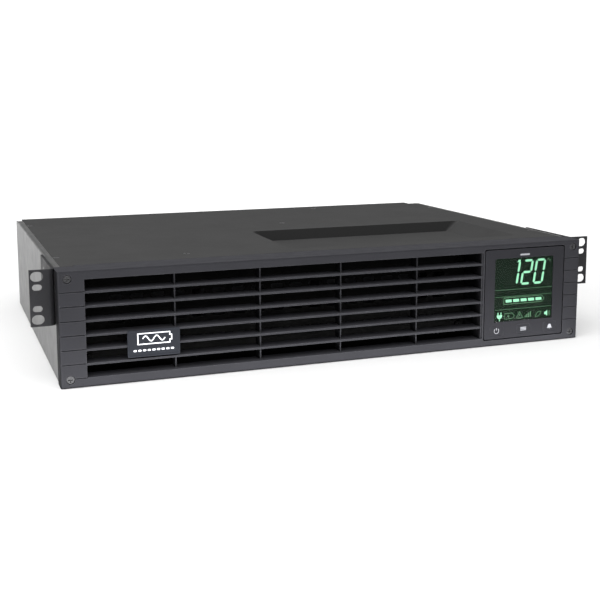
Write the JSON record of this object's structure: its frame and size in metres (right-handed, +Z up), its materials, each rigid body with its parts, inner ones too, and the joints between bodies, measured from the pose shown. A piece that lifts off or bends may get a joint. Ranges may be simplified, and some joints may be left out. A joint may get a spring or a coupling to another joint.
{
  "type": "uninterruptible power supply",
  "caption": "Two-unit rack power supply with louvred front bezel, pull-out square display, rack ears, inner batteries and transformer, and a rear panel of outlets and a fan.",
  "frame": {"origin": "centre of the underside of the whole unit, on the surface it rests on, midway between the bezel's face and the tip of the rear reset button", "axes": "+X to the right seen from the front, +Y from the bezel to the rear panel, +Z up"},
  "size_m": [0.476, 0.322, 0.086],
  "materials": {
    "side_paint": "fine matt powder coat",
    "cover_paint": "fine matt powder coat",
    "ear_paint": "fine matt powder coat",
    "rear_paint": "fine matt powder coat",
    "inner_black": "matt black paint",
    "zinc_steel": "zinc-plated sheet",
    "screw_black": "black oxide",
    "screw_steel": "zinc plated",
    "bezel_plastic": "fine textured moulding",
    "badge": "satin black plate",
    "window": "clear tinted window",
    "lcd": "dark green liquid crystal panel",
    "lcd_frame": "white light frame",
    "circuit_board": "green solder mask",
    "black_plastic": "moulded thermoplastic",
    "ribbon": "flat flexible cable",
    "battery_case": "grey moulded case",
    "brass": "tin-plated brass",
    "battery_link": "insulated link",
    "core_steel": "varnished laminations",
    "winding": "yellow tape over copper winding",
    "heatsink": "extruded aluminium",
    "capacitor": "sleeved can",
    "relay": "moulded case",
    "guard_wire": "bright plated wire",
    "outlet": "moulded receptacle",
    "red_button": "moulded push button"
  },
  "bodies": {
    "chassis": {"chassis_tray": "side_paint", "top_cover": "cover_paint", "cover_screws": "screw_black", "rear_panel": "rear_paint", "rear_screws": "screw_steel", "front_bulkhead": "inner_black", "battery_door": "inner_black", "battery_door_screws": "screw_black", "left_rack_ear": "ear_paint", "right_rack_ear": "ear_paint", "ear_screws": "screw_black", "front_bezel": "bezel_plastic", "bezel_screws": "screw_black", "badge_plate": "badge", "bay_partition": "zinc_steel", "battery_tray": "zinc_steel", "battery_1": "battery_case", "battery_2": "battery_case", "battery_3": "battery_case", "battery_terminals": "brass", "battery_links": "battery_link", "transformer_core": "core_steel", "transformer_winding": "winding", "transformer_rails": "zinc_steel", "transformer_bolts": "screw_steel", "main_board": "circuit_board", "board_standoffs": "brass", "board_screws": "screw_steel", "heatsinks": "heatsink", "power_transistors": "black_plastic", "capacitors": "capacitor", "relays": "relay", "fan_frame": "black_plastic", "fan_guard": "guard_wire", "fan_screws": "screw_steel", "inlet_socket": "outlet", "inlet_pins": "brass", "inlet_screws": "screw_black", "left_outlets": "outlet", "right_outlets": "outlet", "outlet_contacts": "brass", "breaker_body": "black_plastic", "usb_port": "screw_steel", "serial_port": "screw_steel", "surge_jacks": "outlet", "slot_cover": "rear_paint"},
    "display_unit": {"display_housing": "bezel_plastic", "display_window": "window", "lcd_panel": "lcd", "lcd_frame": "lcd_frame", "display_board": "circuit_board", "key_switches": "black_plastic", "display_back_cover": "bezel_plastic", "display_screws": "screw_steel", "display_ribbon": "ribbon"},
    "power_key": {"power_key": "bezel_plastic"},
    "select_key": {"select_key": "bezel_plastic"},
    "silence_key": {"silence_key": "bezel_plastic"},
    "fan_rotor": {"fan_rotor": "black_plastic"},
    "breaker_button": {"breaker_button": "red_button"}
  },
  "joints": [
    {"name": "display_pull", "type": "slide", "parent": "chassis", "child": "display_unit", "axis": [0, -1, 0], "range_m": [0, 0.03]},
    {"name": "power_press", "type": "slide", "parent": "display_unit", "child": "power_key", "axis": [0, 1, 0], "range_m": [0, 0.0007], "stiffness_N_per_m": 700},
    {"name": "select_press", "type": "slide", "parent": "display_unit", "child": "select_key", "axis": [0, 1, 0], "range_m": [0, 0.0007], "stiffness_N_per_m": 700},
    {"name": "silence_press", "type": "slide", "parent": "display_unit", "child": "silence_key", "axis": [0, 1, 0], "range_m": [0, 0.0007], "stiffness_N_per_m": 700},
    {"name": "fan_spin", "type": "hinge", "parent": "chassis", "child": "fan_rotor", "pos_m": [-0.172, 0.139, 0.043], "axis": [0, 1, 0], "continuous": true},
    {"name": "breaker_trip", "type": "slide", "parent": "chassis", "child": "breaker_button", "axis": [0, 1, 0], "range_m": [0, 0.004]}
  ]
}
